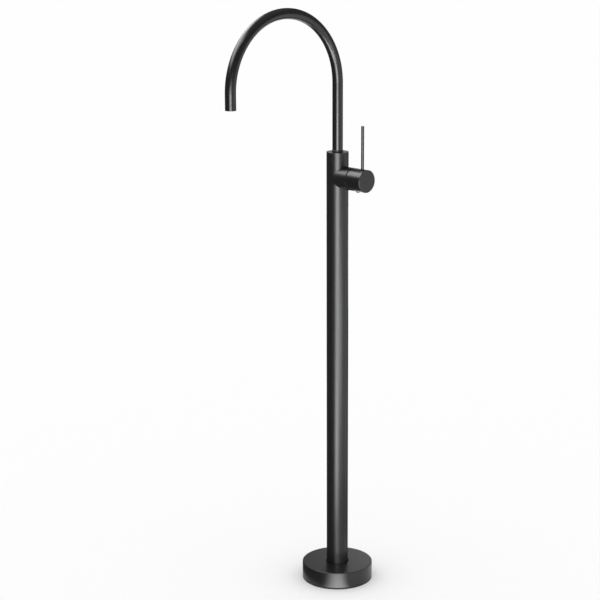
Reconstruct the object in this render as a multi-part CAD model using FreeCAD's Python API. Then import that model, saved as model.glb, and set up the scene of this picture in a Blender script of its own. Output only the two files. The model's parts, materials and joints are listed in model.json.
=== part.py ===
import FreeCAD, Part
import math
import os

# Floor standing bath filler. Millimetres, +Z up.
# The origin is the centre of the base underside, on the floor. The column stands on the Z axis,
# the spout reaches towards -Y, and the handle lies along +X at the height HANDLE_Z.

V = FreeCAD.Vector

# --- Fits, all per side -------------------------------------------------------------------
JOINT = 0.05  # pieces that are soldered, screwed or pushed together
SLIP = 0.05  # running fits of shafts in bores
FREE = 0.3  # moving faces that pass each other without touching
CORE_GAP = 0.25  # between the column's bore and the blocks inside it
SEAL_NIP = 0.03  # between a seal and the bore it closes
EDGE = 0.4  # small chamfer on exposed edges

# --- Floor fixing and cover ---------------------------------------------------------------
PLATE_T = 8.0
PLATE_RIM = 10.0  # from the anchor circle to the plate's edge
ANCHOR_CIRCLE_R = 52.0
ANCHOR_HOLE_R = 4.5
ANCHORS = 4
COVER_R = 74.0
COVER_H = 36.0
COVER_WALL = 2.5
COVER_TOP_T = 3.0
COVER_CHAMFER = 1.8
COVER_COLLAR_H = 9.0
COVER_COLLAR_T = 5.0
COVER_EDGE_R = 0.8

# --- Foot block ---------------------------------------------------------------------------
BOSS_WALL = 5.7  # round the ports
FOOT_FLANGE_T = 10.0
FOOT_FLANGE_RIM = 8.0  # from the screw circle to the flange's edge
FOOT_SPIGOT_H = 40.0
PORT_R = 9.3  # G1/2 pipe thread at its minor diameter
PORT_DEPTH = 15.0
PORT_WEB = 7.4  # between the two ports
FOOT_SCREW_R = 3.0
FOOT_SCREW_OUT = 5.0  # from the boss to the screw circle
FOOT_SCREW_HEAD_R = 5.0
FOOT_SCREWS = 4
FOOT_SCREW_BITE = 6.0
COLUMN_SCREW_R = 3.0
COLUMN_SCREW_Z = 27.0
COLUMN_SCREW_L = 6.0
COLUMN_SCREWS = 3

# --- Column and supply tubes --------------------------------------------------------------
COLUMN_R = 22.5
COLUMN_WALL = 2.0
COLUMN_TOP = 917.7
CAP_H = 9.0
TUBE_R = 6.0
TUBE_WALL = 1.0
TUBE_X = -5.0
TUBE_WEB = 3.2  # between the seal grooves of the two tubes
TUBE_SOCKET = 16.0
TUBE_PASSAGE_R = 4.0
TUBE_END_GAP = 1.0
SEAL_T = 1.9  # section of the rubber seals as they sit, squared by their grooves
SEAL_GROOVE_W = 2.4

# --- Valve body ---------------------------------------------------------------------------
HANDLE_DEPTH = 51.7  # from the top of the column down to the handle axis
VALVE_BELOW = 34.0  # from the handle axis
VALVE_ABOVE = 34.0
VALVE_FACE_X = 7.0
GASKET_T = 1.0
INLET_Y = 6.0  # ports of the cartridge, seen along the handle
INLET_UP = 6.5
INLET_R = 3.0
OUTLET_DOWN = 6.0
OUTLET_R = 4.5
RISER_X = -9.0
RISER_R = 4.0

# --- Cartridge housing and sleeve ---------------------------------------------------------
HOUSING_R = 20.8
HOUSING_FLOOR_T = 4.0
HOUSING_GAP = 0.2
SLEEVE_R = 23.0
SLEEVE_START_X = 5.0
SADDLE_GAP = 0.1
HOUSING_SCREW_R = 1.5
HOUSING_SCREW_HEAD_R = 2.8
HOUSING_SCREW_CIRCLE_R = 14.5
HOUSING_SCREWS = 3
HOUSING_SCREW_BITE = 6.0

# --- Ceramic cartridge --------------------------------------------------------------------
CARTRIDGE_R = 17.6
CARTRIDGE_BORE_R = 16.0
BASE_T = 5.0
PORT_SEAL_W = 2.2
PORT_SEAL_T = 1.8
FIXED_DISC_T = 3.5
MOVING_DISC_T = 3.4
MOVING_DISC_R = 12.5
CARRIER_T = 4.0
SHELL_BEYOND_STEP = 6.7  # from the rotor's step to the shell's shoulder
SHELL_NECK_R = 14.4
SHELL_NECK_L = 3.0
ROTOR_FLANGE_T = 3.0
ROTOR_NECK_R = 13.4
ROTOR_PROUD = 1.0  # beyond the nut
NUT_R = 18.95
NUT_T = 5.0
NUT_BORE_R = 14.6
NUT_NOTCHES = 6

# --- Handle -------------------------------------------------------------------------------
PIVOT_BEYOND_STEP = 2.7  # from the rotor's step to the tilt pivot
TILT = 18.0  # degrees from shut to open
PIVOT_PIN_R = 1.5
STEM_R = 4.5
STEM_REACH = 32.0  # from the pivot
BALL_R = 2.2
BALL_ROOM = 0.1
BALL_NECK_R = 1.7
SEAM_REACH = 9.7  # from the pivot to the end of the fixed sleeve
SEAM_GAP = 2.2
DOME_T = 2.2
DOME_OPENING_R = 16.0
SKIRT_BORE_R = 16.6
SKIRT_GAP = 0.4
HOUSING_PROUD = 1.0  # of the housing beyond the end of the sleeve
KNOB_R = 23.0
KNOB_L = 38.8
HUB_R = 8.0
HUB_REACH = 19.5  # from the pivot
PIN_R = 3.0
PIN_L = 101.5
PIN_INSET = 12.5  # from the knob's end face
PIN_FOOT = 8.0  # from the handle axis to the pin's lower end
GRUB_REACH = 24.0  # from the pivot
GRUB_R = 2.5
STEM_FLAT = 4.1
BUTTON_R = 4.0
BUTTON_PROUD = 2.0
BUTTON_SPOT_DEPTH = 0.8
BUTTON_PLUG_L = 5.0

# --- Spout --------------------------------------------------------------------------------
SPOUT_R = 10.65
SPOUT_WALL = 1.5
SPOUT_RISE = 138.3  # from the top of the column to the start of the arch
ARCH_R = 143.0
SPOUT_DROP = 31.0  # from the end of the arch to the outlet
COLLAR_H = 10.5
COLLAR_SPIGOT_H = 7.5
RING_H = 3.5
RING_PROUD = 0.5
SPIGOT_R = 8.95
SPIGOT_BORE_R = 5.8
SPIGOT_INSERT = 24.0
SWING = 60.0  # degrees to each side
STOP_DOWN = 4.0  # from the top of the valve body
STOP_SCREW_R = 2.5
STOP_TIP_R = 1.75
STOP_GROOVE_DEPTH = 2.0
STOP_TIP_GAP = 0.2
UPPER_SEAL_UP = 9.0  # from the stop screw
LOWER_SEAL_DOWN = 4.4
SOCKET_SEAT_DEPTH = 12.0  # from the top of the valve body
SOCKET_NIPPLE_R = 16.4
SOCKET_GASKET_W = 2.5
SOCKET_NECK_R = 17.0
SOCKET_NECK_H = 6.0
AERATOR_R = 8.5
AERATOR_T = 6.5
AERATOR_RECESS = 1.2
AERATOR_JET_R = 1.3
AERATOR_JET_CIRCLE_R = 4.8
AERATOR_JETS = 6  # round the one in the middle
WASHER_T = 1.2
WASHER_BORE_R = 6.5

# --- Worked out from the sizes above ------------------------------------------------------
COLUMN_BORE_R = COLUMN_R - COLUMN_WALL
HANDLE_Z = COLUMN_TOP - HANDLE_DEPTH
PLATE_R = ANCHOR_CIRCLE_R + PLATE_RIM
PORT_Y = PORT_R + PORT_WEB / 2
BOSS_R = PORT_Y + PORT_R + BOSS_WALL
FOOT_SCREW_CIRCLE_R = BOSS_R + FOOT_SCREW_OUT
FOOT_FLANGE_R = FOOT_SCREW_CIRCLE_R + FOOT_FLANGE_RIM
TUBE_GROOVE_R = TUBE_R + SEAL_T + 2 * SEAL_NIP
TUBE_Y = TUBE_GROOVE_R + TUBE_WEB / 2
COLUMN_FOOT_Z = PLATE_T + FOOT_FLANGE_T
COLUMN_END_Z = COLUMN_TOP - CAP_H
FOOT_SPIGOT_TOP = COLUMN_FOOT_Z + FOOT_SPIGOT_H
CORE_R = COLUMN_BORE_R - CORE_GAP
VALVE_BOTTOM = HANDLE_Z - VALVE_BELOW
VALVE_TOP = HANDLE_Z + VALVE_ABOVE
SEAT_X = VALVE_FACE_X + GASKET_T
BASE_X = SEAT_X + HOUSING_FLOOR_T
FIXED_DISC_X = BASE_X + BASE_T
MOVING_DISC_X = FIXED_DISC_X + FIXED_DISC_T + SLIP
CARRIER_X = MOVING_DISC_X + MOVING_DISC_T
ROTOR_X = CARRIER_X + CARRIER_T + FREE
ROTOR_STEP_X = ROTOR_X + ROTOR_FLANGE_T
SHOULDER_X = ROTOR_STEP_X + SHELL_BEYOND_STEP
NUT_END_X = SHOULDER_X + NUT_T
ROTOR_END_X = NUT_END_X + ROTOR_PROUD
PIVOT_X = ROTOR_STEP_X + PIVOT_BEYOND_STEP
BALL_X = CARRIER_X + BALL_R + BALL_ROOM
SEAM_X = PIVOT_X + SEAM_REACH
SLEEVE_END_X = SEAM_X - 2 * EDGE
HOUSING_END_X = SEAM_X + HOUSING_PROUD
HOUSING_OUTSIDE_R = HOUSING_R + 2 * JOINT
KNOB_END_X = SEAM_X + KNOB_L
STEM_END_X = PIVOT_X + STEM_REACH
HUB_X = PIVOT_X + HUB_REACH
GRUB_X = PIVOT_X + GRUB_REACH
PIN_X = KNOB_END_X - PIN_INSET
SPHERE_R = math.hypot(SEAM_X - PIVOT_X, SLEEVE_R)
DOME_INNER_R = SPHERE_R - DOME_T
SPOUT_BORE_R = SPOUT_R - SPOUT_WALL
RING_Z = COLUMN_TOP + FREE
SPOUT_FOOT_Z = RING_Z + RING_H
SPRING_Z = COLUMN_TOP + SPOUT_RISE
OUTLET_Z = SPRING_Z - SPOUT_DROP
SEAT_Z = VALVE_TOP - SOCKET_SEAT_DEPTH
SOCKET_Z = SEAT_Z + GASKET_T
SPIGOT_Z = SOCKET_Z + FREE
STOP_Z = VALVE_TOP - STOP_DOWN
SPIGOT_SEALS_Z = (STOP_Z - LOWER_SEAL_DOWN, STOP_Z + UPPER_SEAL_UP)
SPIGOT_GROOVE_R = SPIGOT_R + SLIP - SEAL_T - 2 * SEAL_NIP
COLLAR_TOP = OUTLET_Z + COLLAR_H
OUTLET_CENTRE = V(0, -2 * ARCH_R, 0)
CARTRIDGE_PORTS = (  # across, up and radius, seen along the handle
    (INLET_Y, INLET_UP, INLET_R),
    (-INLET_Y, INLET_UP, INLET_R),
    (0.0, -OUTLET_DOWN, OUTLET_R),
)


# --- Building blocks ----------------------------------------------------------------------
def upright(radius, low, high, x=0.0, y=0.0):
    """Round bar along Z from low to high."""
    return Part.makeCylinder(radius, high - low, V(x, y, low))


def level(radius, near, far, y=0.0, up=0.0):
    """Round bar along the handle, from near to far in X, up above the handle axis."""
    return Part.makeCylinder(radius, far - near, V(near, y, HANDLE_Z + up), V(1, 0, 0))


def radial(radius, inner, outer, z, angle):
    """Round bar that points out from the Z axis at an angle from +X."""
    out = V(math.cos(math.radians(angle)), math.sin(math.radians(angle)), 0)
    return Part.makeCylinder(radius, outer - inner, out * inner + V(0, 0, z), out)


def turned_upright(outline, x=0.0, y=0.0):
    """Solid turned about a vertical axis from (radius, height) corners."""
    corners = [V(x + radius, y, height) for radius, height in outline]
    face = Part.Face(Part.makePolygon(corners + corners[:1]))
    return face.revolve(V(x, y, 0), V(0, 0, 1), 360)


def turned_level(outline):
    """Solid turned about the handle axis from (station, radius) corners."""
    corners = [V(station, 0, HANDLE_Z + radius) for station, radius in outline]
    face = Part.Face(Part.makePolygon(corners + corners[:1]))
    return face.revolve(V(0, 0, HANDLE_Z), V(1, 0, 0), 360)


def upright_tube(inner, outer, low, high, x=0.0, y=0.0):
    """Round tube or ring along Z."""
    return upright(outer, low, high, x, y).cut(upright(inner, low, high, x, y))


def seal_groove(inner, outer, z, x=0.0, y=0.0):
    """Ring-shaped room for a seal, centred on the height z."""
    return upright_tube(inner, outer, z - SEAL_GROOVE_W / 2, z + SEAL_GROOVE_W / 2, x, y)


def seal_ring(inner, z, x=0.0, y=0.0):
    """Rubber ring as it sits in its groove, centred on the height z."""
    return upright_tube(inner, inner + SEAL_T, z - SEAL_T / 2, z + SEAL_T / 2, x, y)


def hexagon(across_flats, depth, foot, out):
    """Hexagon socket that opens along out, with its floor centred on foot."""
    side = out.cross(V(0, 0, 1)) if abs(out.z) < 0.5 else V(1, 0, 0)
    point = foot + side.normalize() * (across_flats / math.sqrt(3))
    corners = []
    for corner in range(6):
        spun = FreeCAD.Rotation(out, 60 * corner).multVec(point - foot)
        corners.append(foot + spun)
    return Part.Face(Part.makePolygon(corners + corners[:1])).extrude(out * depth)


def grub_screw(radius, inner, outer, z, angle):
    """Headless screw with a cone point and a hexagon socket."""
    out = V(math.cos(math.radians(angle)), math.sin(math.radians(angle)), 0)
    point = radius / 2
    body = radial(radius, inner + point, outer, z, angle)
    cone = Part.makeCone(radius - point, radius, point, out * inner + V(0, 0, z), out)
    socket_depth = radius
    foot = out * (outer - socket_depth) + V(0, 0, z)
    return body.fuse(cone).removeSplitter().cut(hexagon(radius, socket_depth, foot, out))


def around(count, start=0.0):
    """Equal angles in degrees."""
    return [start + 360.0 * number / count for number in range(count)]


def polar(radius, angle):
    return radius * math.cos(math.radians(angle)), radius * math.sin(math.radians(angle))


# --- Base ---------------------------------------------------------------------------------
def floor_plate():
    plate = turned_upright(
        [(BOSS_R + JOINT, 0), (PLATE_R, 0), (PLATE_R, PLATE_T - EDGE), (PLATE_R - EDGE, PLATE_T),
         (BOSS_R + JOINT, PLATE_T)]
    )
    for angle in around(ANCHORS):
        x, y = polar(ANCHOR_CIRCLE_R, angle)
        plate = plate.cut(upright(ANCHOR_HOLE_R, 0, PLATE_T, x, y))
    for angle in around(FOOT_SCREWS, 45):
        x, y = polar(FOOT_SCREW_CIRCLE_R, angle)
        plate = plate.cut(upright(FOOT_SCREW_R + JOINT, 0, PLATE_T, x, y))
    return plate


def foot_block():
    block = turned_upright(
        [(0, 0), (BOSS_R, 0), (BOSS_R, PLATE_T), (FOOT_FLANGE_R, PLATE_T),
         (FOOT_FLANGE_R, COLUMN_FOOT_Z), (CORE_R, COLUMN_FOOT_Z), (CORE_R, FOOT_SPIGOT_TOP),
         (0, FOOT_SPIGOT_TOP)]
    )
    for side in (-1, 1):
        port_y, tube_y = side * PORT_Y, side * TUBE_Y
        block = block.cut(upright(PORT_R, 0, PORT_DEPTH, 0, port_y))
        block = block.cut(upright(TUBE_PASSAGE_R, PORT_DEPTH - 1, FOOT_SPIGOT_TOP, TUBE_X, tube_y))
        block = block.cut(
            upright(TUBE_R + SLIP, FOOT_SPIGOT_TOP - TUBE_SOCKET, FOOT_SPIGOT_TOP, TUBE_X, tube_y)
        )
        seal_z = FOOT_SPIGOT_TOP - TUBE_SOCKET / 2
        block = block.cut(seal_groove(TUBE_R, TUBE_GROOVE_R, seal_z, TUBE_X, tube_y))
    for angle in around(FOOT_SCREWS, 45):
        x, y = polar(FOOT_SCREW_CIRCLE_R, angle)
        block = block.cut(upright(FOOT_SCREW_R + FREE, PLATE_T, COLUMN_FOOT_Z, x, y))
    for angle in around(COLUMN_SCREWS):
        hole = radial(
            COLUMN_SCREW_R + JOINT, COLUMN_R - COLUMN_SCREW_L - 0.5, COLUMN_R, COLUMN_SCREW_Z, angle
        )
        block = block.cut(hole)
    return block


def foot_screws():
    screws = []
    for angle in around(FOOT_SCREWS, 45):
        x, y = polar(FOOT_SCREW_CIRCLE_R, angle)
        head_top = COLUMN_FOOT_Z + 2 * FOOT_SCREW_R
        shank = upright(FOOT_SCREW_R, PLATE_T - FOOT_SCREW_BITE, COLUMN_FOOT_Z, x, y)
        head = upright(FOOT_SCREW_HEAD_R, COLUMN_FOOT_Z, head_top, x, y)
        foot = V(x, y, head_top - FOOT_SCREW_R)
        screws.append(shank.fuse(head).cut(hexagon(5, FOOT_SCREW_R, foot, V(0, 0, 1))))
    return Part.makeCompound(screws)


def column_grub_screws():
    outer = COLUMN_R - EDGE
    return Part.makeCompound(
        [grub_screw(COLUMN_SCREW_R, outer - COLUMN_SCREW_L, outer, COLUMN_SCREW_Z, angle)
         for angle in around(COLUMN_SCREWS)]
    )


def cover_flange():
    under_top = COVER_H - COVER_TOP_T
    hole_r = COLUMN_R + FREE
    collar_r = hole_r + COVER_COLLAR_T
    shell = turned_upright(
        [(COVER_R - COVER_WALL, 0), (COVER_R, 0), (COVER_R, COVER_H - COVER_EDGE_R),
         (COVER_R - COVER_EDGE_R, COVER_H), (hole_r + COVER_CHAMFER, COVER_H),
         (hole_r, COVER_H - COVER_CHAMFER), (hole_r, under_top - COVER_COLLAR_H),
         (collar_r, under_top - COVER_COLLAR_H), (collar_r, under_top),
         (COVER_R - COVER_WALL, under_top)]
    )
    groove_r = COLUMN_R + SLIP + SEAL_T + SEAL_NIP
    return shell.cut(seal_groove(COLUMN_R, groove_r, cover_seal_z()))


def cover_seal_z():
    return COVER_H - COVER_TOP_T - COVER_COLLAR_H / 2


def cover_seal():
    return seal_ring(COLUMN_R + SLIP, cover_seal_z())


# --- Column and supply --------------------------------------------------------------------
def column_tube():
    tube = upright_tube(COLUMN_BORE_R, COLUMN_R, COLUMN_FOOT_Z, COLUMN_END_Z)
    tube = tube.cut(level(HOUSING_R + HOUSING_GAP, 0, COLUMN_R + 1))
    for angle in around(COLUMN_SCREWS):
        hole = radial(COLUMN_SCREW_R + JOINT, COLUMN_BORE_R - 1, COLUMN_R + 1, COLUMN_SCREW_Z, angle)
        tube = tube.cut(hole)
    return tube.cut(radial(STOP_SCREW_R + FREE, COLUMN_BORE_R - 1, COLUMN_R + 1, STOP_Z, 90))


def supply_tube(side):
    low = FOOT_SPIGOT_TOP - TUBE_SOCKET + TUBE_END_GAP
    high = VALVE_BOTTOM + TUBE_SOCKET - TUBE_END_GAP
    return upright_tube(TUBE_R - TUBE_WALL, TUBE_R, low, high, TUBE_X, side * TUBE_Y)


def supply_tube_seals():
    rings = []
    for side in (-1, 1):
        for z in (FOOT_SPIGOT_TOP - TUBE_SOCKET / 2, VALVE_BOTTOM + TUBE_SOCKET / 2):
            rings.append(seal_ring(TUBE_R + SEAL_NIP, z, TUBE_X, side * TUBE_Y))
    return Part.makeCompound(rings)


def top_cap():
    hole_r = SPIGOT_R + FREE
    roof_z = COLUMN_END_Z + SOCKET_NECK_H
    return turned_upright(
        [(hole_r, roof_z), (SOCKET_NECK_R + JOINT, roof_z), (SOCKET_NECK_R + JOINT, COLUMN_END_Z),
         (COLUMN_R - EDGE / 2, COLUMN_END_Z), (COLUMN_R, COLUMN_END_Z + EDGE / 2),
         (COLUMN_R, COLUMN_TOP - EDGE), (COLUMN_R - EDGE, COLUMN_TOP), (hole_r, COLUMN_TOP)]
    )


# --- Valve body ---------------------------------------------------------------------------
def housing_screw_places():
    """(y, up) of each screw that holds the housing, seen along the handle."""
    return [polar(HOUSING_SCREW_CIRCLE_R, angle) for angle in around(HOUSING_SCREWS, 90)]


def valve_body():
    body = upright(CORE_R, VALVE_BOTTOM, VALVE_TOP)
    body = body.cut(level(HOUSING_R + HOUSING_GAP, VALVE_FACE_X, COLUMN_R + 1))
    for side in (-1, 1):
        tube_y = side * TUBE_Y
        socket_top = VALVE_BOTTOM + TUBE_SOCKET
        body = body.cut(upright(TUBE_R + SLIP, VALVE_BOTTOM, socket_top, TUBE_X, tube_y))
        seal_z = VALVE_BOTTOM + TUBE_SOCKET / 2
        body = body.cut(seal_groove(TUBE_R, TUBE_GROOVE_R, seal_z, TUBE_X, tube_y))
        inlet_z = HANDLE_Z + INLET_UP
        body = body.cut(
            upright(TUBE_PASSAGE_R, socket_top - 1, inlet_z + INLET_R, TUBE_X, tube_y)
        )
        body = body.cut(level(INLET_R, TUBE_X + 1, VALVE_FACE_X + 1, side * INLET_Y, INLET_UP))
    body = body.cut(level(OUTLET_R, RISER_X, VALVE_FACE_X + 1, 0, -OUTLET_DOWN))
    body = body.cut(upright(RISER_R, HANDLE_Z - OUTLET_DOWN - OUTLET_R, VALVE_TOP, RISER_X))
    body = body.cut(upright(SOCKET_NIPPLE_R + JOINT, SEAT_Z, VALVE_TOP))
    body = body.cut(radial(STOP_SCREW_R + JOINT, SPIGOT_R, COLUMN_R, STOP_Z, 90))
    for y, up in housing_screw_places():
        thread = level(
            HOUSING_SCREW_R + JOINT, VALVE_FACE_X - HOUSING_SCREW_BITE - 0.5, VALVE_FACE_X + 1, y, up
        )
        body = body.cut(thread)
    return body


def socket_gasket():
    return upright_tube(SOCKET_NIPPLE_R - SOCKET_GASKET_W, SOCKET_NIPPLE_R, SEAT_Z, SOCKET_Z)


def spout_socket():
    bore_r = SPIGOT_R + SLIP
    neck_top = COLUMN_END_Z + SOCKET_NECK_H
    socket = turned_upright(
        [(bore_r, SOCKET_Z), (SOCKET_NIPPLE_R, SOCKET_Z), (SOCKET_NIPPLE_R, VALVE_TOP),
         (CORE_R, VALVE_TOP), (CORE_R, COLUMN_END_Z), (SOCKET_NECK_R, COLUMN_END_Z),
         (SOCKET_NECK_R, neck_top), (bore_r, neck_top)]
    )
    return socket.cut(radial(STOP_SCREW_R + JOINT, 0, COLUMN_R, STOP_Z, 90))


def spout_stop_screw():
    """Screw through column, valve body and socket whose tip limits the spout's swing."""
    outer = COLUMN_R - 2 * EDGE
    tip_end = SPIGOT_R - STOP_GROOVE_DEPTH + STOP_TIP_GAP
    body = radial(STOP_SCREW_R, SPIGOT_R + 2 * SLIP + FREE, outer, STOP_Z, 90)
    tip = radial(STOP_TIP_R, tip_end, outer - 1, STOP_Z, 90)
    foot = V(0, outer - STOP_SCREW_R, STOP_Z)
    return body.fuse(tip).cut(hexagon(STOP_SCREW_R, STOP_SCREW_R, foot, V(0, 1, 0)))


# --- Cartridge housing --------------------------------------------------------------------
def with_ports(shape, near, far):
    """Cut the two inlets and the outlet through a piece, along the handle."""
    for y, up, radius in CARTRIDGE_PORTS:
        shape = shape.cut(level(radius, near, far, y, up))
    return shape


def housing_gasket():
    gasket = with_ports(level(HOUSING_R - 1, VALVE_FACE_X, SEAT_X), VALVE_FACE_X, SEAT_X)
    for y, up in housing_screw_places():
        gasket = gasket.cut(level(HOUSING_SCREW_R + FREE, VALVE_FACE_X, SEAT_X, y, up))
    return gasket


def cartridge_housing():
    nut_bore_r = NUT_R + JOINT
    housing = turned_level(
        [(SEAT_X, 0), (SEAT_X, HOUSING_R), (HOUSING_END_X, HOUSING_R), (HOUSING_END_X, nut_bore_r),
         (SHOULDER_X, nut_bore_r), (SHOULDER_X, CARTRIDGE_R + JOINT), (BASE_X, CARTRIDGE_R + JOINT),
         (BASE_X, 0)]
    )
    housing = with_ports(housing, SEAT_X, BASE_X)
    for y, up in housing_screw_places():
        housing = housing.cut(level(HOUSING_SCREW_R + FREE, SEAT_X, BASE_X, y, up))
        housing = housing.cut(screw_head(y, up, JOINT))
    return housing


def screw_head(y, up, room):
    """Countersunk head, flush with the housing's floor."""
    depth = HOUSING_SCREW_HEAD_R - HOUSING_SCREW_R
    start = V(BASE_X - depth, y, HANDLE_Z + up)
    return Part.makeCone(HOUSING_SCREW_R + room, HOUSING_SCREW_HEAD_R + room, depth, start, V(1, 0, 0))


def housing_screws():
    screws = []
    for y, up in housing_screw_places():
        shank = level(HOUSING_SCREW_R, VALVE_FACE_X - HOUSING_SCREW_BITE, BASE_X, y, up)
        foot = V(BASE_X - 1.2, y, HANDLE_Z + up)
        screw = shank.fuse(screw_head(y, up, 0))
        screws.append(screw.cut(hexagon(2.0, 1.2, foot, V(1, 0, 0))))
    return Part.makeCompound(screws)


def side_sleeve():
    sleeve = turned_level(
        [(SLEEVE_START_X, HOUSING_OUTSIDE_R), (SLEEVE_START_X, SLEEVE_R), (SLEEVE_END_X, SLEEVE_R),
         (SLEEVE_END_X, HOUSING_OUTSIDE_R)]
    )
    column = upright(COLUMN_R + SADDLE_GAP, HANDLE_Z - SLEEVE_R - 1, HANDLE_Z + SLEEVE_R + 1)
    return sleeve.cut(column)


# --- Ceramic cartridge --------------------------------------------------------------------
def cartridge_base():
    base = with_ports(level(CARTRIDGE_R, BASE_X, FIXED_DISC_X), BASE_X, FIXED_DISC_X)
    for y, up, radius in CARTRIDGE_PORTS:
        seat_r = radius + PORT_SEAL_W + JOINT
        base = base.cut(level(seat_r, BASE_X, BASE_X + PORT_SEAL_T, y, up))
    return base


def port_seals():
    rings = []
    for y, up, radius in CARTRIDGE_PORTS:
        outside = level(radius + PORT_SEAL_W, BASE_X, BASE_X + PORT_SEAL_T, y, up)
        rings.append(outside.cut(level(radius, BASE_X, BASE_X + PORT_SEAL_T, y, up)))
    return Part.makeCompound(rings)


def fixed_disc():
    far = FIXED_DISC_X + FIXED_DISC_T
    return with_ports(level(CARTRIDGE_BORE_R - JOINT, FIXED_DISC_X, far), FIXED_DISC_X, far)


def cartridge_shell():
    return turned_level(
        [(FIXED_DISC_X, CARTRIDGE_BORE_R), (FIXED_DISC_X, CARTRIDGE_R), (SHOULDER_X, CARTRIDGE_R),
         (SHOULDER_X, SHELL_NECK_R), (SHOULDER_X + SHELL_NECK_L, SHELL_NECK_R),
         (SHOULDER_X + SHELL_NECK_L, ROTOR_NECK_R + SLIP), (ROTOR_STEP_X + SLIP, ROTOR_NECK_R + SLIP),
         (ROTOR_STEP_X + SLIP, CARTRIDGE_BORE_R)]
    )


def cartridge_nut():
    nut = turned_level(
        [(SHOULDER_X, NUT_BORE_R), (SHOULDER_X, NUT_R), (NUT_END_X, NUT_R), (NUT_END_X, NUT_BORE_R)]
    )
    notch_depth, notch_width = 2.0, 3.0
    for angle in around(NUT_NOTCHES):
        notch = Part.makeBox(
            notch_depth, notch_width, NUT_R - NUT_BORE_R - 2,
            V(NUT_END_X - notch_depth, -notch_width / 2, NUT_BORE_R - 1)
        )
        notch.rotate(V(0, 0, 0), V(1, 0, 0), angle)
        notch.translate(V(0, 0, HANDLE_Z))
        nut = nut.cut(notch)
    return nut


def moving_disc():
    disc = level(MOVING_DISC_R, MOVING_DISC_X, CARRIER_X)
    pocket = level(OUTLET_R, MOVING_DISC_X, MOVING_DISC_X + 2, 0, -OUTLET_DOWN + 1)
    for side in (-1, 1):
        lobe = level(INLET_R + 0.5, MOVING_DISC_X, MOVING_DISC_X + 2, side * (INLET_Y - 1), 0)
        pocket = pocket.fuse(lobe)
    return disc.cut(pocket)


def disc_carrier():
    carrier = level(MOVING_DISC_R + FREE, CARRIER_X, CARRIER_X + CARRIER_T)
    return carrier.cut(level(BALL_R + BALL_ROOM, CARRIER_X, CARRIER_X + CARRIER_T))


def stem_room():
    """Slot in the rotor that lets the stem tilt in one plane."""
    slope = math.tan(math.radians(TILT))
    half = STEM_R / math.cos(math.radians(TILT)) + FREE
    below = (ROTOR_END_X - PIVOT_X) * slope + half
    above = (PIVOT_X - ROTOR_X) * slope + half
    width = 2 * (STEM_R + SLIP)
    corner = V(ROTOR_X - 1, -width / 2, HANDLE_Z - below)
    return Part.makeBox(ROTOR_END_X - ROTOR_X + 2, width, above + below, corner)


def cartridge_rotor():
    rotor = turned_level(
        [(ROTOR_X, 0), (ROTOR_X, CARTRIDGE_BORE_R - SLIP), (ROTOR_STEP_X, CARTRIDGE_BORE_R - SLIP),
         (ROTOR_STEP_X, ROTOR_NECK_R), (ROTOR_END_X, ROTOR_NECK_R), (ROTOR_END_X, 0)]
    )
    return rotor.cut(stem_room()).cut(pivot_bar(PIVOT_PIN_R + JOINT, ROTOR_NECK_R))


def pivot_bar(radius, half_length):
    """Round bar across the handle through the tilt pivot."""
    return Part.makeCylinder(radius, 2 * half_length, V(PIVOT_X, -half_length, HANDLE_Z), V(0, 1, 0))


def lever_pivot_pin():
    return pivot_bar(PIVOT_PIN_R, ROTOR_NECK_R - EDGE)


# --- Handle -------------------------------------------------------------------------------
def dome_ring():
    """Turned ring whose outside is a ball about the tilt pivot, flush with the sleeve at its rim."""
    blank = turned_level(
        [(SLEEVE_END_X, HOUSING_OUTSIDE_R), (SLEEVE_END_X, SLEEVE_R), (KNOB_END_X, SLEEVE_R),
         (KNOB_END_X, DOME_OPENING_R), (HOUSING_END_X, DOME_OPENING_R),
         (HOUSING_END_X, HOUSING_OUTSIDE_R)]
    )
    centre = V(PIVOT_X, 0, HANDLE_Z)
    dome = blank.common(Part.makeSphere(SPHERE_R, centre)).cut(Part.makeSphere(DOME_INNER_R, centre))
    skirt_x = NUT_END_X + SKIRT_GAP
    skirt = turned_level(
        [(skirt_x, SKIRT_BORE_R), (skirt_x, NUT_R), (HOUSING_END_X, NUT_R),
         (HOUSING_END_X, HOUSING_R), (HOUSING_END_X + DOME_T, HOUSING_R - DOME_T),
         (HOUSING_END_X + DOME_T, SKIRT_BORE_R)]
    )
    return dome.fuse(skirt.common(Part.makeSphere(SPHERE_R, centre))).removeSplitter()


def knob():
    """Turned knob with a ball-shaped seat round the dome, a hub for the stem and cross holes."""
    rim_x = SEAM_X + SEAM_GAP
    blank = turned_level(
        [(rim_x, 0), (rim_x, KNOB_R), (KNOB_END_X - EDGE, KNOB_R), (KNOB_END_X, KNOB_R - EDGE),
         (KNOB_END_X, 0)]
    )
    seat = Part.makeSphere(SPHERE_R + FREE, V(PIVOT_X, 0, HANDLE_Z))
    body = blank.cut(seat).fuse(level(HUB_R, HUB_X, STEM_END_X)).removeSplitter()
    body = body.cut(level(STEM_R + JOINT, HUB_X - 1, STEM_END_X + 0.3))
    body = body.cut(upright(PIN_R + JOINT, HANDLE_Z + PIN_FOOT - 0.5, HANDLE_Z + KNOB_R + 1, PIN_X))
    body = body.cut(upright(GRUB_R + JOINT, HANDLE_Z - KNOB_R - 1, HANDLE_Z - 1, GRUB_X))
    spot_z = HANDLE_Z - KNOB_R + BUTTON_SPOT_DEPTH
    return body.cut(upright(BUTTON_R + JOINT, HANDLE_Z - KNOB_R - 1, spot_z, GRUB_X))


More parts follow.
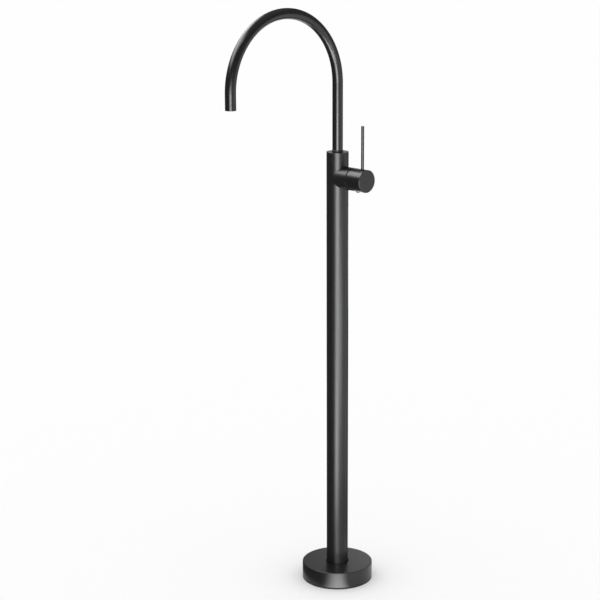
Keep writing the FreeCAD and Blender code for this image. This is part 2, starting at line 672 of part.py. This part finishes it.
def lever_stem():
    """Stem with the ball that drives the disc carrier and the eye for the pivot pin."""
    shoulder = ROTOR_X + 2
    stem = level(STEM_R, shoulder, STEM_END_X)
    taper = Part.makeCone(BALL_NECK_R, STEM_R, 1.6, V(shoulder - 1.6, 0, HANDLE_Z), V(1, 0, 0))
    neck = level(BALL_NECK_R, BALL_X, shoulder - 1.5)
    ball = Part.makeSphere(BALL_R, V(BALL_X, 0, HANDLE_Z))
    stem = stem.fuse(taper).fuse(neck).fuse(ball).removeSplitter()
    stem = stem.cut(pivot_bar(PIVOT_PIN_R + SLIP, STEM_R + 1))
    flat = Part.makeBox(
        4 * GRUB_R, 2 * STEM_R, STEM_R, V(GRUB_X - 2 * GRUB_R, -STEM_R, HANDLE_Z - STEM_FLAT - STEM_R)
    )
    return stem.cut(flat)


def pin_lever():
    low = HANDLE_Z + PIN_FOOT
    top = low + PIN_L
    return turned_upright(
        [(0, low), (PIN_R, low), (PIN_R, top - EDGE), (PIN_R - EDGE, top), (0, top)], PIN_X
    )


def lever_grub_screw():
    tip = HANDLE_Z - STEM_FLAT
    end = HANDLE_Z - HUB_R
    socket_depth = GRUB_R / 2
    screw = turned_upright(
        [(0, tip), (GRUB_R / 2, tip), (GRUB_R, tip - GRUB_R / 2), (GRUB_R, end), (0, end)], GRUB_X
    )
    return screw.cut(hexagon(GRUB_R, socket_depth, V(GRUB_X, 0, end + socket_depth), V(0, 0, -1)))


def index_button():
    top = HANDLE_Z - KNOB_R + BUTTON_SPOT_DEPTH - JOINT
    face = HANDLE_Z - KNOB_R - BUTTON_PROUD
    crown = BUTTON_PROUD / 2
    return turned_upright(
        [(0, top + BUTTON_PLUG_L), (GRUB_R, top + BUTTON_PLUG_L), (GRUB_R, top), (BUTTON_R, top),
         (BUTTON_R, face + crown), (BUTTON_R - crown, face), (0, face)], GRUB_X
    )


# --- Spout --------------------------------------------------------------------------------
def spout_tube():
    ring = Part.Face([Part.Wire(Part.makeCircle(SPOUT_R, V(0, 0, SPRING_Z))),
                      Part.Wire(Part.makeCircle(SPOUT_BORE_R, V(0, 0, SPRING_Z)))])
    arch = ring.revolve(V(0, -ARCH_R, SPRING_Z), V(1, 0, 0), 180)
    leg = ring.extrude(V(0, 0, SPOUT_FOOT_Z - SPRING_Z))
    drop = ring.copy()
    drop.translate(OUTLET_CENTRE)
    drop = drop.extrude(V(0, 0, COLLAR_TOP - SPRING_Z))
    return leg.fuse([arch, drop]).removeSplitter()


def spout_spigot():
    joint_r = SPOUT_BORE_R - JOINT
    top = SPOUT_FOOT_Z + SPIGOT_INSERT
    spigot = turned_upright(
        [(SPIGOT_BORE_R, SPIGOT_Z), (SPIGOT_R, SPIGOT_Z), (SPIGOT_R, SPOUT_FOOT_Z),
         (joint_r, SPOUT_FOOT_Z), (joint_r, top), (SPIGOT_BORE_R, top)]
    )
    for z in SPIGOT_SEALS_Z:
        spigot = spigot.cut(seal_groove(SPIGOT_GROOVE_R, SPIGOT_R + 1, z))
    return spigot.cut(stop_groove())


def stop_groove():
    """Part of a turn cut into the spigot, which the stop screw limits."""
    floor_r = SPIGOT_R - STOP_GROOVE_DEPTH
    half_angle = SWING + math.degrees(math.asin((STOP_TIP_R + STOP_TIP_GAP) / floor_r))
    half_width = STOP_TIP_R + STOP_TIP_GAP
    sector = Part.makeCylinder(
        SPIGOT_R + 1, 2 * half_width, V(0, 0, STOP_Z - half_width), V(0, 0, 1), 2 * half_angle
    )
    sector.rotate(V(0, 0, 0), V(0, 0, 1), 90 - half_angle)
    return sector.cut(upright(floor_r, STOP_Z - half_width, STOP_Z + half_width))


def spigot_seals():
    return Part.makeCompound([seal_ring(SPIGOT_GROOVE_R + SEAL_NIP, z) for z in SPIGOT_SEALS_Z])


def swivel_ring():
    outer_r = SPOUT_R + RING_PROUD
    inner_r = SPIGOT_R + JOINT
    return turned_upright(
        [(inner_r, RING_Z), (outer_r, RING_Z), (outer_r, SPOUT_FOOT_Z - EDGE),
         (outer_r - EDGE, SPOUT_FOOT_Z), (inner_r, SPOUT_FOOT_Z)]
    )


def outlet_collar():
    seat_top = aerator_top() + WASHER_T
    joint_r = SPOUT_BORE_R - JOINT
    seat_r = AERATOR_R + JOINT
    top = COLLAR_TOP + COLLAR_SPIGOT_H
    collar = turned_upright(
        [(seat_r, OUTLET_Z), (SPOUT_R - EDGE, OUTLET_Z), (SPOUT_R, OUTLET_Z + EDGE),
         (SPOUT_R, COLLAR_TOP - EDGE / 2), (SPOUT_R - EDGE / 2, COLLAR_TOP), (joint_r, COLLAR_TOP),
         (joint_r, top), (WASHER_BORE_R, top), (WASHER_BORE_R, seat_top), (seat_r, seat_top)]
    )
    collar.translate(OUTLET_CENTRE)
    return collar


def aerator_top():
    return OUTLET_Z + AERATOR_RECESS + AERATOR_T


def aerator_insert():
    low = OUTLET_Z + AERATOR_RECESS
    insert = upright(AERATOR_R, low, aerator_top())
    insert = insert.cut(upright(AERATOR_JET_R, low, aerator_top()))
    for angle in around(AERATOR_JETS):
        x, y = polar(AERATOR_JET_CIRCLE_R, angle)
        insert = insert.cut(upright(AERATOR_JET_R, low, aerator_top(), x, y))
    insert.translate(OUTLET_CENTRE)
    return insert


def aerator_washer():
    washer = upright_tube(WASHER_BORE_R, AERATOR_R, aerator_top(), aerator_top() + WASHER_T)
    washer.translate(OUTLET_CENTRE)
    return washer


# --- Export -------------------------------------------------------------------------------
PIECES = {
    "floor_plate": floor_plate,
    "foot_block": foot_block,
    "foot_screws": foot_screws,
    "column_tube": column_tube,
    "column_grub_screws": column_grub_screws,
    "hot_supply_tube": lambda: supply_tube(-1),
    "cold_supply_tube": lambda: supply_tube(1),
    "supply_tube_seals": supply_tube_seals,
    "valve_body": valve_body,
    "socket_gasket": socket_gasket,
    "spout_socket": spout_socket,
    "spout_stop_screw": spout_stop_screw,
    "top_cap": top_cap,
    "housing_gasket": housing_gasket,
    "cartridge_housing": cartridge_housing,
    "housing_screws": housing_screws,
    "side_sleeve": side_sleeve,
    "dome_ring": dome_ring,
    "cartridge_base": cartridge_base,
    "port_seals": port_seals,
    "fixed_disc": fixed_disc,
    "cartridge_shell": cartridge_shell,
    "cartridge_nut": cartridge_nut,
    "cartridge_rotor": cartridge_rotor,
    "lever_pivot_pin": lever_pivot_pin,
    "moving_disc": moving_disc,
    "disc_carrier": disc_carrier,
    "lever_stem": lever_stem,
    "knob": knob,
    "pin_lever": pin_lever,
    "lever_grub_screw": lever_grub_screw,
    "index_button": index_button,
    "spout_tube": spout_tube,
    "spout_spigot": spout_spigot,
    "spigot_seals": spigot_seals,
    "swivel_ring": swivel_ring,
    "outlet_collar": outlet_collar,
    "aerator_insert": aerator_insert,
    "aerator_washer": aerator_washer,
    "cover_flange": cover_flange,
    "cover_seal": cover_seal,
}

os.makedirs("parts", exist_ok=True)
for name, make in PIECES.items():
    make().exportStep(f"parts/{name}.step")
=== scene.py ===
import json
import math

import bpy
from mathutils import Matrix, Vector

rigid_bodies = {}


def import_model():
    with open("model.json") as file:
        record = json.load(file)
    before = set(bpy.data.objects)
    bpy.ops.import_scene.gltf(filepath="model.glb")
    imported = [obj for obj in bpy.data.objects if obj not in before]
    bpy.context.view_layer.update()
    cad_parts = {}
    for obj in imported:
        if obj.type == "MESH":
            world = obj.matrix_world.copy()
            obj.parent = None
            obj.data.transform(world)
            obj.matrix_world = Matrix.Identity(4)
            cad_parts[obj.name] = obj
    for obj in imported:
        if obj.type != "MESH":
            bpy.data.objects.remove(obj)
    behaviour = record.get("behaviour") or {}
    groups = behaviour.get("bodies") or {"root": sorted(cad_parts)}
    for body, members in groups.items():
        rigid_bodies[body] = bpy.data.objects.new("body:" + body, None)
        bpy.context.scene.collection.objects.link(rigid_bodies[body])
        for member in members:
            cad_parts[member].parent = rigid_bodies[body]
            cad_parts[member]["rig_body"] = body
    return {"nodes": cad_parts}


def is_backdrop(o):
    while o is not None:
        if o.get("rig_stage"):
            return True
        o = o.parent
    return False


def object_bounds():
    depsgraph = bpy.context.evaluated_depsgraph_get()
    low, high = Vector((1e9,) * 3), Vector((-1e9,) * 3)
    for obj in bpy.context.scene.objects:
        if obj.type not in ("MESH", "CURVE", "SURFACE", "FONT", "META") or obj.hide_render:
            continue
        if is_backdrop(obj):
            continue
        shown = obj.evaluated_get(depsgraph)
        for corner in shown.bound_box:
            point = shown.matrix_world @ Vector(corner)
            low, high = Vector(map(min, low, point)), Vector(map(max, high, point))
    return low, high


# Floor standing bath filler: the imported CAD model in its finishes, in a small studio.
# Metres, +Z up, in the CAD frame: the column is on the Z axis, the spout reaches towards -Y
# and the handle lies along +X.

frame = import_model()
cad_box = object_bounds()
nodes = frame["nodes"]

# --- Camera, as fitted to the photograph ----------------------------------------------------
IMAGE_SIDE = 600  # pixels
FOCAL = 1645.4967  # pixels
CENTRE_X = 331.5337  # pixels, where the camera's axis meets the picture
SENSOR = 36.0  # millimetres
CAMERA_AZIMUTH = 45.0  # degrees
CAMERA_DROP = 0.2383  # radians below level
CAMERA_DISTANCE = 3.2967817
CAMERA_HEIGHT = 1.4101057
CAMERA_SIDE = -0.0122244  # to the right, seen from the camera
CLIP_START, CLIP_END = 0.1, 200.0

# --- Studio ---------------------------------------------------------------------------------
FLOOR_SIDE = 80.0
FLOOR_COLOUR = (0.99, 0.99, 0.99)
FLOOR_ROUGHNESS = 0.9
WORLD_STRENGTH = 1.0
# Panels stand round the column on an upright ring, on a disc at the floor and on one overhead.
# Only the object's gloss sees them. Angles are in degrees to the right of the camera.
RING_RADIUS = 1.6
LOW_HEIGHT = 0.001
HIGH_HEIGHT = 3.0
# From a flag to the card in front of it, and from each card to the next.
RING_GAP = 0.01
LOW_GAP = 0.001
HIGH_GAP = 0.01
PANEL_STEP = 3.0  # degrees between a panel's lines of points
PANEL_ROWS = 12
# Lit cards: limits in degrees, limits in metres up the ring or out from the column, brightness,
# and how far the light fades in from each limit.
RING_CARDS = {
    "front": ((-30, 23), (0.0, 1.23), 12.0, (21, 21), (0.44, 0.53)),
    "front_low": ((-6, 64), (0.03, 0.26), 13.5, (31, 45), (0.0, 0.0)),
    "top_left": ((-165, -30), (1.65, 3.0), 5.5, (32, 40), (0.3, 0.0)),
    "rear": ((140, 190), (0.2, 0.65), 3.0, (15, 25), (0.1, 0.1)),
    "rear_high": ((140, 215), (1.0, 1.6), 1.1, (15, 50), (0.15, 0.15)),
}
LOW_CARDS = {
    "floor_far": ((-29, 26), (0.075, 1.59), 13.0, (12, 34), (0.95, 0.0)),
    "floor_near": ((-30, 26), (0.075, 0.2), 7.5, (30, 22), (0.0, 0.07)),
    "floor_rear": ((155, 205), (0.075, 1.59), 2.0, (18, 18), (0.0, 0.0)),
}
HIGH_CARDS = {
    "ceiling": ((-165, 10), (0.85, 1.59), 4.5, (32, 55), (0.35, 0.0)),
}
# Dark flags behind the cards leave the white room open to the gloss only at the right, low down.
# Each has its limits as a card has them, and how much it glows itself.
RIGHT_OPEN = (35, 120)
OPEN_HEIGHT = 1.0
RING_FLAGS = {
    "left_flag": ((-180, RIGHT_OPEN[0]), (0.0, HIGH_HEIGHT), 0.1),
    "right_flag": (RIGHT_OPEN, (OPEN_HEIGHT, HIGH_HEIGHT), 0.2),
    "rear_flag": ((RIGHT_OPEN[1], 180), (0.0, HIGH_HEIGHT), 0.1),
}
LOW_FLAGS = {
    "front_floor_flag": ((-180, 28), (0.09, RING_RADIUS), 0.1),
    "right_floor_flag": ((28, RIGHT_OPEN[1]), (0.22, 0.6), 0.45),
    "rear_floor_flag": ((RIGHT_OPEN[1], 180), (0.09, RING_RADIUS), 0.1),
}
HIGH_FLAGS = {
    "ceiling_flag": ((-180, 180), (0.0, RING_RADIUS), 0.3),
}

# --- Finishes -------------------------------------------------------------------------------
# Scales of noise are in cells per metre, and depths of relief in metres.
NOISE_RANGE = (0.3, 0.7)  # where most of a noise's values lie
COAT_TINT_SCALE, COAT_FLOW_SCALE, COAT_GRAIN_SCALE = 60.0, 350.0, 2600.0
COAT_FLOW_DEPTH, COAT_GRAIN_DEPTH = 0.000006, 0.000009
COAT_DARK, COAT_LIGHT = (0.85, 0.85, 0.88), (1.15, 1.15, 1.16)  # times the coat's grey
COAT_ROUGHNESS_SPREAD = 0.04
TARNISH_SCALE = 90.0
TARNISH_ROUGHNESS = (-0.05, 0.08)  # added where the tarnish is dark, and where it is light
TOOL_LINE_SCALE = 900.0  # the wave's own scale, for about 2900 lines per metre
CLOUD_SCALE = 45.0
CLOUD_ROUGHNESS = (0.08, -0.04)  # added where the clouds are dark, and where they are light
DRAW_MARK_SCALE = 1800.0
DRAW_MARK_SQUEEZE = 0.02  # the marks' scale along the tube, as a share of that across it
METAL_RELIEF = 0.000004
MOULD_TINT_SCALE = 120.0
MOULD_ROUGHNESS_SPREAD = 0.04
GLAZE_ROUGHNESS = 0.06
# Pieces in the black finish whose coat differs from that of the column and cover.
# The dome ring's coat is darker and duller than the rest: partly a real dull glide ring, partly
# painted shade in the seam between sleeve and knob.
OWN_COATS = {"dome_ring": "dull_black_seam_shade", "knob": "handle_black", "pin_lever": "handle_black"}


# --- Node helpers ---------------------------------------------------------------------------
def material(name):
    """New material with its Principled shader ready."""
    made = bpy.data.materials.new(name)
    made.use_nodes = True
    tree = made.node_tree
    shader = tree.nodes["Principled BSDF"]
    return made, tree, shader


def add(tree, kind, **inputs):
    """Node of that kind, with constants on its inputs by name."""
    node = tree.nodes.new(kind)
    for name, value in inputs.items():
        node.inputs[name.replace("_", " ")].default_value = value
    return node


def place(tree):
    """Point on the piece, in metres."""
    return add(tree, "ShaderNodeTexCoord").outputs["Object"]


def noise(tree, scale, detail=3.0):
    """Noise between 0 and 1 over the piece."""
    node = add(tree, "ShaderNodeTexNoise", Scale=scale, Detail=detail, Roughness=0.5)
    tree.links.new(place(tree), node.inputs["Vector"])
    return node.outputs["Fac"]


def stretched_noise(tree, scale, along, squeeze):
    """Noise drawn out along one of the axes 0, 1 or 2."""
    mapping = add(tree, "ShaderNodeMapping")
    ratio = [1.0, 1.0, 1.0]
    ratio[along] = squeeze
    mapping.inputs["Scale"].default_value = ratio
    tree.links.new(place(tree), mapping.inputs["Vector"])
    node = add(tree, "ShaderNodeTexNoise", Scale=scale, Detail=3.0)
    tree.links.new(mapping.outputs["Vector"], node.inputs["Vector"])
    return node.outputs["Fac"]


def spread(tree, value, low, high):
    """value, taken from a noise's usual range to low..high."""
    node = add(tree, "ShaderNodeMapRange")
    node.inputs["From Min"].default_value = NOISE_RANGE[0]
    node.inputs["From Max"].default_value = NOISE_RANGE[1]
    node.inputs["To Min"].default_value = low
    node.inputs["To Max"].default_value = high
    tree.links.new(value, node.inputs["Value"])
    return node.outputs["Result"]


def tint(tree, value, dark, light):
    """Colour between dark and light."""
    node = add(tree, "ShaderNodeMix")
    node.data_type = "RGBA"
    node.inputs["A"].default_value = (*dark, 1.0)
    node.inputs["B"].default_value = (*light, 1.0)
    tree.links.new(value, node.inputs["Factor"])
    return node.outputs["Result"]


def bump(tree, height, depth, under=None):
    """Normal of a relief of that depth, laid over another one if there is one."""
    node = add(tree, "ShaderNodeBump", Distance=depth, Strength=1.0)
    tree.links.new(height, node.inputs["Height"])
    if under is not None:
        tree.links.new(under, node.inputs["Normal"])
    return node.outputs["Normal"]


# --- Materials ------------------------------------------------------------------------------
def black_coat(name, rough=0.34, grey=0.008, level=0.5):
    """Satin black coating: a very fine grain over a faint, slow unevenness."""
    made, tree, shader = material(name)
    broad = noise(tree, COAT_TINT_SCALE)
    flow = noise(tree, COAT_FLOW_SCALE, detail=1.0)
    grain = noise(tree, COAT_GRAIN_SCALE, detail=2.0)
    dark = [share * grey for share in COAT_DARK]
    light = [share * grey for share in COAT_LIGHT]
    low, high = rough - COAT_ROUGHNESS_SPREAD, rough + COAT_ROUGHNESS_SPREAD
    relief = bump(tree, grain, COAT_GRAIN_DEPTH, under=bump(tree, flow, COAT_FLOW_DEPTH))
    shader.inputs["Specular IOR Level"].default_value = level
    tree.links.new(tint(tree, broad, dark, light), shader.inputs["Base Color"])
    tree.links.new(spread(tree, grain, low, high), shader.inputs["Roughness"])
    tree.links.new(relief, shader.inputs["Normal"])
    return made


def turned_metal(name, dark, light, rough):
    """Bare metal with fine tool lines round the Z axis and a faint tarnish."""
    made, tree, shader = material(name)
    tarnish = noise(tree, TARNISH_SCALE)
    lines = add(tree, "ShaderNodeTexWave", Scale=TOOL_LINE_SCALE, Distortion=1.5, Detail=2.0)
    lines.bands_direction = "Z"
    tree.links.new(place(tree), lines.inputs["Vector"])
    low, high = (rough + change for change in TARNISH_ROUGHNESS)
    shader.inputs["Metallic"].default_value = 1.0
    tree.links.new(tint(tree, tarnish, dark, light), shader.inputs["Base Color"])
    tree.links.new(spread(tree, tarnish, low, high), shader.inputs["Roughness"])
    tree.links.new(bump(tree, lines.outputs["Fac"], METAL_RELIEF), shader.inputs["Normal"])
    return made


def drawn_metal(name, dark, light, rough):
    """Bare metal with fine draw marks along the Z axis and darker, duller cloudy patches."""
    made, tree, shader = material(name)
    clouds = noise(tree, CLOUD_SCALE, detail=5.0)
    marks = stretched_noise(tree, DRAW_MARK_SCALE, along=2, squeeze=DRAW_MARK_SQUEEZE)
    low, high = (rough + change for change in CLOUD_ROUGHNESS)
    shader.inputs["Metallic"].default_value = 1.0
    tree.links.new(tint(tree, clouds, dark, light), shader.inputs["Base Color"])
    tree.links.new(spread(tree, clouds, low, high), shader.inputs["Roughness"])
    tree.links.new(bump(tree, marks, METAL_RELIEF), shader.inputs["Normal"])
    return made


def moulded(name, dark, light, rough, skin_scale=1500.0, skin_depth=0.000006, glaze=0.0):
    """Moulded or pressed piece in one colour with a fine skin, and a glaze if it has one."""
    made, tree, shader = material(name)
    broad = noise(tree, MOULD_TINT_SCALE)
    skin = noise(tree, skin_scale, detail=2.0)
    low, high = rough - MOULD_ROUGHNESS_SPREAD, rough + MOULD_ROUGHNESS_SPREAD
    shader.inputs["Coat Weight"].default_value = glaze
    shader.inputs["Coat Roughness"].default_value = GLAZE_ROUGHNESS
    tree.links.new(tint(tree, broad, dark, light), shader.inputs["Base Color"])
    tree.links.new(spread(tree, broad, low, high), shader.inputs["Roughness"])
    tree.links.new(bump(tree, skin, skin_depth), shader.inputs["Normal"])
    return made


def finishes():
    """Finish of each of the CAD's material slots, and the other coats of black pieces."""
    grey, pale_grey = (0.46, 0.46, 0.47), (0.60, 0.60, 0.60)
    yellow, pale_yellow = (0.60, 0.41, 0.16), (0.76, 0.57, 0.27)
    red, pale_red = (0.62, 0.26, 0.15), (0.86, 0.47, 0.31)
    rubber, pale_rubber = (0.012, 0.012, 0.012), (0.022, 0.022, 0.022)
    putty, pale_putty = (0.66, 0.67, 0.66), (0.74, 0.74, 0.72)
    soot, pale_soot = (0.016, 0.016, 0.017), (0.026, 0.026, 0.027)
    cream, pale_cream = (0.78, 0.77, 0.73), (0.85, 0.84, 0.81)
    return {
        "black_finish": black_coat("black_coat"),
        "spout_black": black_coat("spout_black", rough=0.24, level=0.55),
        "handle_black": black_coat("handle_black", rough=0.28),
        # Half the column's grey and little gloss: a dull glide ring, and painted shade in the
        # knob's seam.
        "dull_black_seam_shade": black_coat("dull_black_seam_shade", rough=0.6, grey=0.004, level=0.15),
        "steel": drawn_metal("plain_steel", grey, pale_grey, rough=0.30),
        "brass": turned_metal("turned_brass", yellow, pale_yellow, rough=0.26),
        "copper": drawn_metal("drawn_copper", red, pale_red, rough=0.26),
        "rubber": moulded("black_rubber", rubber, pale_rubber, rough=0.62),
        "cartridge_plastic": moulded("pale_plastic", putty, pale_putty, rough=0.36),
        "black_plastic": moulded("black_plastic", soot, pale_soot, rough=0.4),
        "ceramic": moulded(
            "ground_ceramic",
            cream,
            pale_cream,
            rough=0.16,
            skin_scale=4000.0,
            skin_depth=0.000003,
            glaze=0.6,
        ),
    }


def dress():
    """Each node in the finish of its material slot, or in its own coat."""
    finish = finishes()
    for name, node in nodes.items():
        slot = node.data.materials[0].name
        if slot == "black_finish" and node["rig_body"] == "spout":
            slot = "spout_black"
        node.data.materials[0] = finish[OWN_COATS.get(name, slot)]


# --- Camera, world and floor ----------------------------------------------------------------
def toward(angle):
    """Level direction from the column, at an angle to the right of the camera."""
    turn = math.radians(CAMERA_AZIMUTH + angle)
    return Vector((math.sin(turn), -math.cos(turn), 0))


def make_camera():
    """Camera of the photograph."""
    out, right = toward(0), toward(90)
    data = bpy.data.cameras.new("camera")
    data.sensor_width = SENSOR
    data.lens = SENSOR * FOCAL / IMAGE_SIDE
    data.shift_x = (IMAGE_SIDE / 2 - CENTRE_X) / IMAGE_SIDE
    data.clip_start, data.clip_end = CLIP_START, CLIP_END
    camera = bpy.data.objects.new("camera", data)
    camera.location = out * CAMERA_DISTANCE + right * CAMERA_SIDE + Vector((0, 0, CAMERA_HEIGHT))
    view = -out * math.cos(CAMERA_DROP) - Vector((0, 0, math.sin(CAMERA_DROP)))
    camera.rotation_mode = "QUATERNION"
    camera.rotation_quaternion = view.to_track_quat("-Z", "Y")
    bpy.context.scene.collection.objects.link(camera)
    bpy.context.scene.camera = camera


def make_world():
    world = bpy.data.worlds.new("studio")
    world.use_nodes = True
    back = world.node_tree.nodes["Background"]
    back.inputs["Color"].default_value = (1.0, 1.0, 1.0, 1.0)
    back.inputs["Strength"].default_value = WORLD_STRENGTH
    bpy.context.scene.world = world


def floor_paint():
    made, tree, shader = material("floor_paint")
    shader.inputs["Roughness"].default_value = FLOOR_ROUGHNESS
    shader.inputs["Specular IOR Level"].default_value = 0.0
    shader.inputs["Base Color"].default_value = (*FLOOR_COLOUR, 1.0)
    return made


def make_floor():
    half = FLOOR_SIDE / 2
    corners = [(-half, -half, 0), (half, -half, 0), (half, half, 0), (-half, half, 0)]
    mesh = bpy.data.meshes.new("floor")
    mesh.from_pydata(corners, [], [(0, 1, 2, 3)])
    mesh.materials.append(floor_paint())
    floor = bpy.data.objects.new("floor", mesh)
    bpy.context.scene.collection.objects.link(floor)
    floor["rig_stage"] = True


# --- Cards and flags ------------------------------------------------------------------------
def ring_spot(step):
    """Place on the ring by angle and height, a number of gaps further in than its flags."""
    radius = RING_RADIUS - step * RING_GAP
    return lambda angle, height: toward(angle) * radius + Vector((0, 0, height))


def low_spot(step):
    """Place at the floor by angle and distance, a number of gaps above its flags."""
    height = LOW_HEIGHT + step * LOW_GAP
    return lambda angle, distance: toward(angle) * distance + Vector((0, 0, height))


def high_spot(step):
    """Place overhead by angle and distance, a number of gaps below its flags."""
    height = HIGH_HEIGHT - step * HIGH_GAP
    return lambda angle, distance: toward(angle) * distance + Vector((0, 0, height))


def fade(value, low, high, fades):
    """1 inside low..high, falling smoothly to 0 at the limits over the fades."""
    glow = 1.0
    for depth, width in ((value - low, fades[0]), (high - value, fades[1])):
        if width > 0:
            share = min(max(depth / width, 0.0), 1.0)
            glow *= share * share * (3 - 2 * share)
    return glow


def card_paint():
    """Light that follows the mesh's own glow attribute and is added to what lies behind."""
    made, tree, shader = material("card_paint")
    tree.nodes.remove(shader)
    glow = tree.nodes.new("ShaderNodeAttribute")
    glow.attribute_name = "glow"
    light = tree.nodes.new("ShaderNodeEmission")
    clear = tree.nodes.new("ShaderNodeBsdfTransparent")
    both = tree.nodes.new("ShaderNodeAddShader")
    tree.links.new(glow.outputs["Fac"], light.inputs["Strength"])
    tree.links.new(light.outputs[0], both.inputs[0])
    tree.links.new(clear.outputs[0], both.inputs[1])
    tree.links.new(both.outputs[0], tree.nodes["Material Output"].inputs["Surface"])
    return made


def flag_paint():
    """Dull dark cloth, whose brightness is the mesh's own glow attribute."""
    made, tree, shader = material("flag_paint")
    shader.inputs["Base Color"].default_value = (0.0, 0.0, 0.0, 1.0)
    shader.inputs["Specular IOR Level"].default_value = 0.0
    shader.inputs["Emission Color"].default_value = (1.0, 1.0, 1.0, 1.0)
    glow = tree.nodes.new("ShaderNodeAttribute")
    glow.attribute_name = "glow"
    tree.links.new(glow.outputs["Fac"], shader.inputs["Emission Strength"])
    return made


def make_panel(name, paint, spot, angles, span, glow):
    """Panel over angles x span, with a point's place from spot and its light from glow."""
    lines = max(2, round((angles[1] - angles[0]) / PANEL_STEP))
    corners, light = [], []
    for i in range(lines + 1):
        angle = angles[0] + (angles[1] - angles[0]) * i / lines
        for j in range(PANEL_ROWS + 1):
            value = span[0] + (span[1] - span[0]) * j / PANEL_ROWS
            corners.append(spot(angle, value))
            light.append(glow(angle, value))
    faces = []
    for i in range(lines):
        for j in range(PANEL_ROWS):
            first = i * (PANEL_ROWS + 1) + j
            beside = first + PANEL_ROWS + 1
            faces.append((first, beside, beside + 1, first + 1))
    mesh = bpy.data.meshes.new(name)
    mesh.from_pydata(corners, [], faces)
    mesh.attributes.new("glow", "FLOAT", "POINT").data.foreach_set("value", light)
    mesh.materials.append(paint)
    panel = bpy.data.objects.new(name, mesh)
    bpy.context.scene.collection.objects.link(panel)
    for ray in ("camera", "diffuse", "transmission", "volume_scatter", "shadow"):
        setattr(panel, "visible_" + ray, False)
    panel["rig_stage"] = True


def make_panels():
    """The flags, and the cards in front of them, each one gap further in than the last."""
    card, flag = card_paint(), flag_paint()
    walls = (
        (ring_spot, RING_CARDS, RING_FLAGS),
        (low_spot, LOW_CARDS, LOW_FLAGS),
        (high_spot, HIGH_CARDS, HIGH_FLAGS),
    )
    for spot, cards, flags in walls:
        for name, (angles, span, level) in flags.items():
            make_panel(name, flag, spot(0), angles, span, lambda angle, value: level)
        for step, (name, limits) in enumerate(cards.items(), start=1):
            angles, span, strength, side_fades, end_fades = limits

            def glow(angle, value):
                sides = fade(angle, *angles, side_fades)
                ends = fade(value, *span, end_fades)
                return strength * sides * ends

            make_panel(name, card, spot(step), angles, span, glow)


make_camera()
make_world()
make_floor()
make_panels()
dress()

bpy.context.scene.view_settings.view_transform = "Standard"

boxes = {"cad": cad_box, "visual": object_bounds()}
{key: [list(corner) for corner in box] for key, box in boxes.items()}
